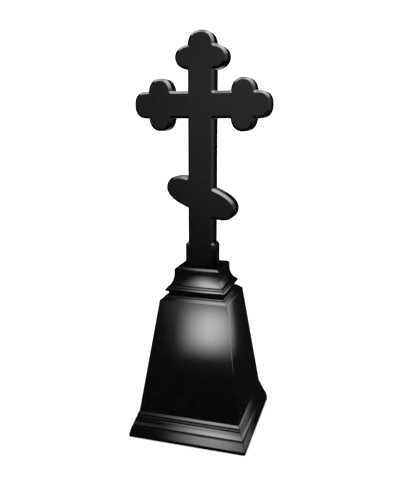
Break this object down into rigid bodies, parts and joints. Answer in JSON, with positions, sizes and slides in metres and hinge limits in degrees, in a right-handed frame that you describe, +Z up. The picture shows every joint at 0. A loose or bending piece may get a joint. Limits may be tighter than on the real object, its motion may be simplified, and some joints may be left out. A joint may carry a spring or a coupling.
{
  "type": "grave cross",
  "caption": "Orthodox grave cross with trefoil ends and a slanted footrest, on a moulded cap, a tapering square pedestal and a stepped base.",
  "frame": {"origin": "middle of the base's underside, on the ground", "axes": "+Z up along the cross's shaft; the front faces -Y; +X runs along the crossbar, to the right of someone who looks at the front"},
  "size_m": [0.6798, 0.6078, 2],
  "materials": {
    "black_enamel_cast_iron": "smooth cast iron under black semi-gloss enamel"
  },
  "bodies": {
    "root": {"base": "black_enamel_cast_iron", "pedestal": "black_enamel_cast_iron", "cap": "black_enamel_cast_iron", "cross": "black_enamel_cast_iron"}
  },
  "joints": []
}
